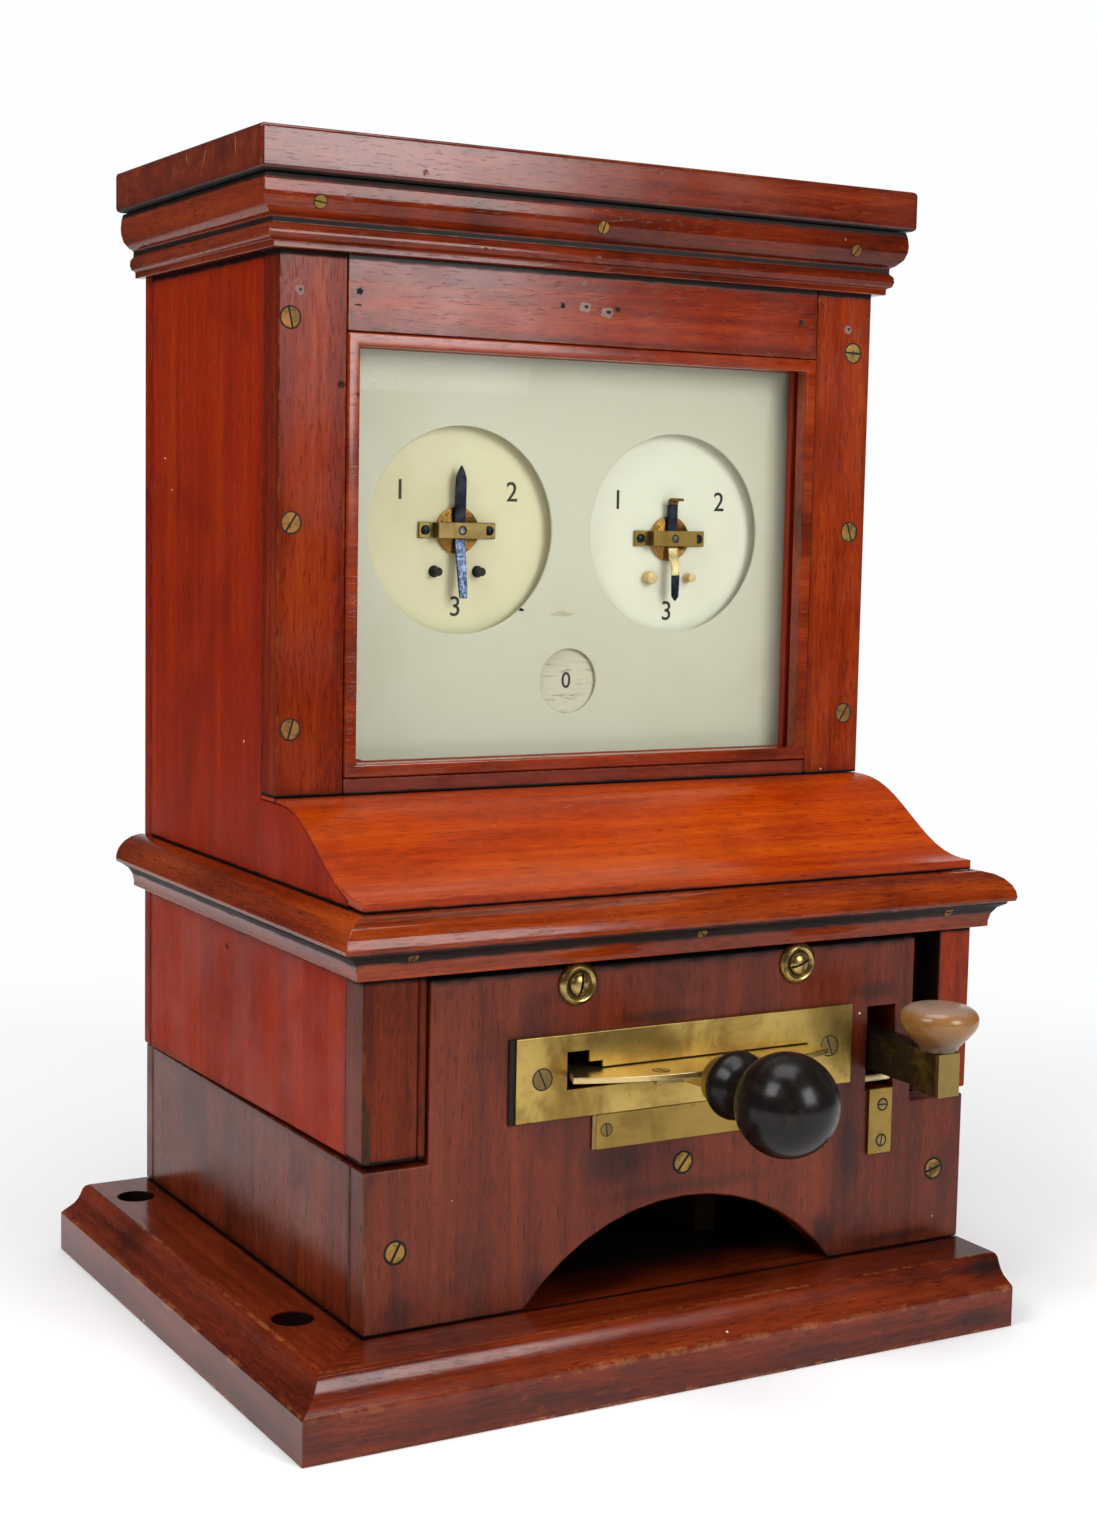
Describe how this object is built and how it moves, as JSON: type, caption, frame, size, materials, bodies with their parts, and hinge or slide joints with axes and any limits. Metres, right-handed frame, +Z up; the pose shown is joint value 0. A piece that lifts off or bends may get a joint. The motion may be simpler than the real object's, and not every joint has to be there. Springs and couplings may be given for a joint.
{
  "type": "railway block instrument",
  "caption": "Glazed wooden signalling instrument with needle dials, a lock flag, a commutator handle and a tapper key.",
  "frame": {"origin": "middle of the case, on the underside of the base board", "axes": "+Z up, -Y towards the operator, +X to the operator's right"},
  "size_m": [0.3157, 0.302, 0.448],
  "materials": {
    "side_wood": "french polished mahogany, orange red",
    "front_wood": "french polished mahogany, red brown",
    "panel_wood": "dark polished mahogany",
    "inner_wood": "plain oiled wood",
    "brass": "lacquered brass with tarnish",
    "ebony": "turned and polished ebony",
    "horn": "turned horn, translucent brown",
    "mask": "pale stone enamel, satin",
    "dial": "cream enamel, aged",
    "steel": "blued steel",
    "glass": "clear flat sheet",
    "silk": "silk covered winding",
    "ivory": "ivory coloured"
  },
  "bodies": {
    "base": {"base_board": "front_wood", "base_side_left": "panel_wood", "base_side_right": "panel_wood", "base_back": "panel_wood", "front_panel": "panel_wood", "slot_plate": "brass", "blank_plate": "brass", "guide_quadrant": "brass", "key_stop_plate": "brass", "key_stop_pin": "ivory", "commutator_bed": "inner_wood", "pivot_post": "brass", "contact_left": "brass", "contact_centre": "brass", "contact_right": "brass", "key_bracket": "brass", "key_base": "inner_wood", "key_spring": "steel", "movement_post_left": "inner_wood", "movement_post_right": "inner_wood", "movement_board": "inner_wood", "mask_plate": "mask", "dial_plate_left": "dial", "dial_plate_right": "dial", "bearing_disc_left": "brass", "bearing_disc_right": "brass", "bridge_left": "brass", "bridge_right": "brass", "coil_left": "silk", "coil_right": "silk", "lock_coil": "silk", "lock_yoke": "steel"},
    "handle": {"handle_arm": "brass", "handle_collar": "brass", "handle_knob": "ebony"},
    "key": {"key_lever": "brass", "key_knob": "horn"},
    "needle_left": {"needle_left": "steel", "arbor_left": "steel"},
    "needle_right": {"needle_right": "steel", "arbor_right": "steel"},
    "lock_flag": {"lock_flag": "dial", "lock_armature": "steel"},
    "hood": {"hood_lid": "front_wood", "cornice": "front_wood", "hood_side_left": "side_wood", "hood_side_right": "side_wood", "hood_back": "side_wood", "stile_left": "front_wood", "stile_right": "front_wood", "head_rail": "front_wood", "sill_rail": "front_wood", "window_bead": "front_wood", "window_glass": "glass", "glass_retainer": "side_wood", "ogee_board": "side_wood", "middle_moulding": "side_wood", "lower_stile_left": "panel_wood", "lower_stile_right": "panel_wood", "lower_rail": "inner_wood"}
  },
  "joints": [
    {"name": "commutator", "type": "hinge", "parent": "base", "child": "handle", "pos_m": [0, 0.019, 0.1072], "axis": [0, 0, 1], "range_deg": [-12.5, 12.5]},
    {"name": "tapper", "type": "hinge", "parent": "base", "child": "key", "pos_m": [0.0893, -0.038, 0.106], "axis": [1, 0, 0], "range_deg": [0, 1.2], "stiffness_Nm_per_rad": 6, "springref_deg": -2.86, "deforming": ["key_spring"]},
    {"name": "needle_left_turn", "type": "hinge", "parent": "base", "child": "needle_left", "pos_m": [-0.049, -0.0105, 0.306], "axis": [0, 1, 0], "range_deg": [-15, 15]},
    {"name": "needle_right_turn", "type": "hinge", "parent": "base", "child": "needle_right", "pos_m": [0.049, -0.0105, 0.304], "axis": [0, 1, 0], "range_deg": [-15, 15]},
    {"name": "lock_flag_turn", "type": "hinge", "parent": "base", "child": "lock_flag", "pos_m": [0, -0.0087, 0.277], "axis": [0, -1, 0], "range_deg": [0, 45]},
    {"name": "hood_lift", "type": "slide", "parent": "base", "child": "hood", "axis": [0, 0, 1], "range_m": [0, 0.31]}
  ]
}
